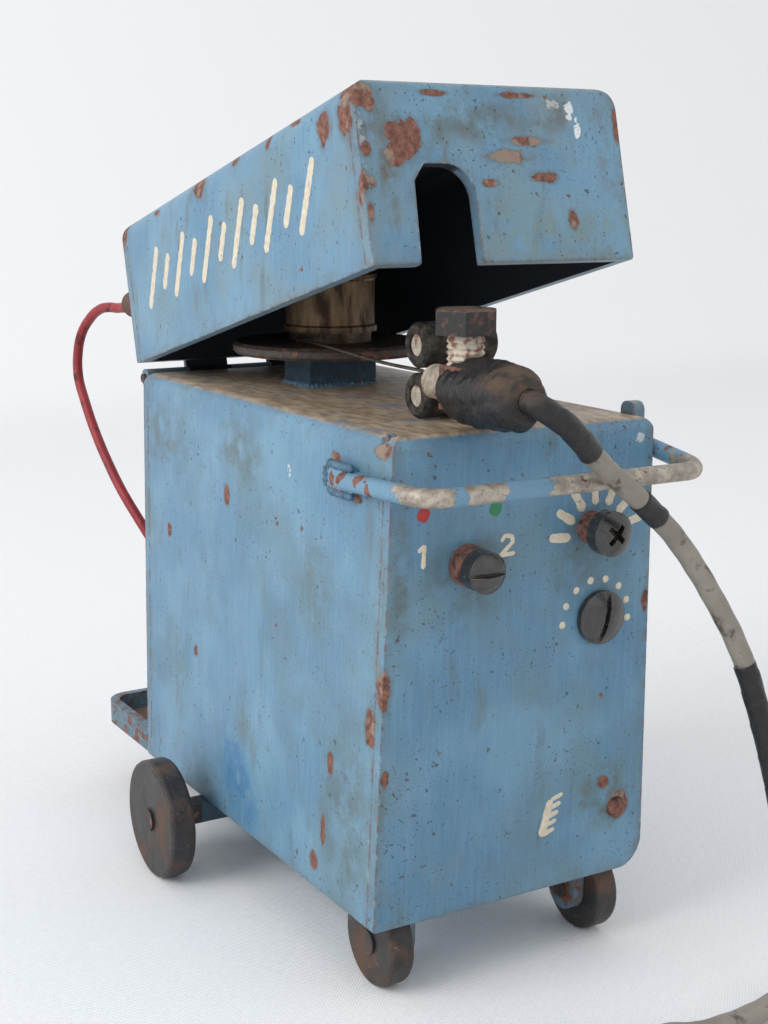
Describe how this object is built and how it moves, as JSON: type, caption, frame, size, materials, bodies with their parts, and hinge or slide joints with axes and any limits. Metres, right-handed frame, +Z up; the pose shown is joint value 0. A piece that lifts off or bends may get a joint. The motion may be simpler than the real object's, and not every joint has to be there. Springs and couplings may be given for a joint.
{
  "type": "wire feeder",
  "caption": "Small welded-steel model of a welding wire feeder on wheels, with a hinged open lid, wire spool, feed rollers, control screws, handle, bottle tray and torch cable.",
  "frame": {"origin": "on the floor, under the middle of the casing", "axes": "+Z up; the control panel, handle and torch cable face -Y; the lid is hinged at the +Y end; +X is to the right seen from the front"},
  "size_m": [0.105, 0.2274, 0.1977],
  "materials": {
    "casing_paint": "satin, worn",
    "lid_paint": "satin, worn",
    "dark_blue_paint": "satin",
    "worn_rod": "worn paint over steel",
    "tray_plate": "rusty",
    "black_paint": "semi-gloss, chipped",
    "wheel_black": "satin, rust showing",
    "rusty_steel": "rusty",
    "roller_rubber": "matt",
    "cream_paint": "flaking",
    "black_tape": "soft sheen",
    "cable_sheath": "matt",
    "red_sheath": "satin, dirty",
    "brown_sleeve": "dirty",
    "nozzle_metal": "dull",
    "wire_steel": "dull",
    "tin_drum": "tarnished",
    "dark_disc": "dull"
  },
  "bodies": {
    "root": {"casing_wrap": "casing_paint", "casing_front_panel": "casing_paint", "casing_rear_panel": "casing_paint", "carry_handle": "worn_rod", "lid_stop_lug": "casing_paint", "earth_terminal": "casing_paint", "rear_axle": "dark_blue_paint", "tray_rim": "casing_paint", "tray_floor": "tray_plate", "selector_collar": "rusty_steel", "voltage_collar": "rusty_steel", "front_wheel_tab_left": "casing_paint", "front_wheel_tab_right": "casing_paint", "front_wheel_pin_left": "wheel_black", "front_wheel_pin_right": "wheel_black", "casing_hinge_leaf": "casing_paint", "hinge_pin": "rusty_steel", "feed_bracket": "rusty_steel", "wire_neck": "cream_paint", "guide_block": "rusty_steel", "tape_wrap": "black_tape", "torch_cable": "cable_sheath", "torch_grip": "black_tape", "torch_nozzle": "nozzle_metal", "spool_pedestal": "casing_paint", "spool_spindle": "rusty_steel", "welding_wire": "wire_steel", "casing_grommet": "casing_paint", "red_lead": "red_sheath"},
    "lid": {"lid_shell": "lid_paint", "lid_front_plate": "lid_paint", "lid_rear_plate": "lid_paint", "lid_hinge_leaf": "lid_paint", "lid_gland": "brown_sleeve"},
    "spool": {"spool_flange": "dark_disc", "spool_drum": "tin_drum"},
    "lower_roller": {"lower_roller_axle": "cream_paint", "lower_roller_left": "roller_rubber", "lower_roller_right": "roller_rubber"},
    "upper_roller": {"upper_roller_axle": "cream_paint", "upper_roller_left": "roller_rubber", "upper_roller_right": "roller_rubber"},
    "pressure_screw": {"pressure_screw": "black_paint"},
    "selector_knob": {"selector_screw": "black_paint", "selector_nut": "rusty_steel"},
    "voltage_knob": {"voltage_screw": "black_paint", "voltage_nut": "rusty_steel"},
    "wire_speed_knob": {"wire_speed_screw": "black_paint", "wire_speed_nut": "rusty_steel"},
    "rear_wheel_left": {"rear_wheel_left": "wheel_black"},
    "rear_wheel_right": {"rear_wheel_right": "wheel_black"},
    "front_wheel_left": {"front_wheel_left": "wheel_black"},
    "front_wheel_right": {"front_wheel_right": "wheel_black"}
  },
  "joints": [
    {"name": "lid_hinge", "type": "hinge", "parent": "root", "child": "lid", "pos_m": [0, 0.07, 0.1245], "axis": [-1, 0, 0], "range_deg": [-11, 56], "deforming": ["red_lead"]},
    {"name": "spool_turn", "type": "hinge", "parent": "root", "child": "spool", "pos_m": [0, 0.022, 0.1346], "axis": [0, 0, 1], "continuous": true},
    {"name": "lower_roller_turn", "type": "hinge", "parent": "root", "child": "lower_roller", "pos_m": [-0.0062, -0.0452, 0.1318], "axis": [1, 0, 0], "continuous": true},
    {"name": "upper_roller_turn", "type": "hinge", "parent": "root", "child": "upper_roller", "pos_m": [-0.0062, -0.0452, 0.1428], "axis": [1, 0, 0], "continuous": true},
    {"name": "pressure_screw_turn", "type": "hinge", "parent": "root", "child": "pressure_screw", "pos_m": [-0.0143, -0.063, 0.1466], "axis": [0, 0, 1], "range_deg": [-180, 180]},
    {"name": "selector_turn", "type": "hinge", "parent": "root", "child": "selector_knob", "pos_m": [-0.0153, -0.06585, 0.0983], "axis": [0, -0.9997, -0.0249], "range_deg": [-45, 45]},
    {"name": "voltage_turn", "type": "hinge", "parent": "root", "child": "voltage_knob", "pos_m": [0.0172, -0.06597, 0.103], "axis": [0, -0.9997, -0.0249], "range_deg": [-120, 120]},
    {"name": "wire_speed_turn", "type": "hinge", "parent": "root", "child": "wire_speed_knob", "pos_m": [0.0208, -0.06544, 0.0819], "axis": [0, -0.9997, -0.0249], "range_deg": [-135, 135]},
    {"name": "rear_wheel_left_spin", "type": "hinge", "parent": "root", "child": "rear_wheel_left", "pos_m": [0, 0.0258, 0.0153], "axis": [1, 0, 0], "continuous": true},
    {"name": "rear_wheel_right_spin", "type": "hinge", "parent": "root", "child": "rear_wheel_right", "pos_m": [0, 0.0258, 0.0153], "axis": [1, 0, 0], "continuous": true},
    {"name": "front_wheel_left_spin", "type": "hinge", "parent": "root", "child": "front_wheel_left", "pos_m": [0, -0.0525, 0.0105], "axis": [1, 0, 0], "continuous": true},
    {"name": "front_wheel_right_spin", "type": "hinge", "parent": "root", "child": "front_wheel_right", "pos_m": [0, -0.0525, 0.0105], "axis": [1, 0, 0], "continuous": true}
  ],
  "couplings": [
    {"joint": "upper_roller_turn", "follows": "lower_roller_turn", "ratio": -1},
    {"joint": "spool_turn", "follows": "lower_roller_turn", "ratio": 0.4167}
  ]
}
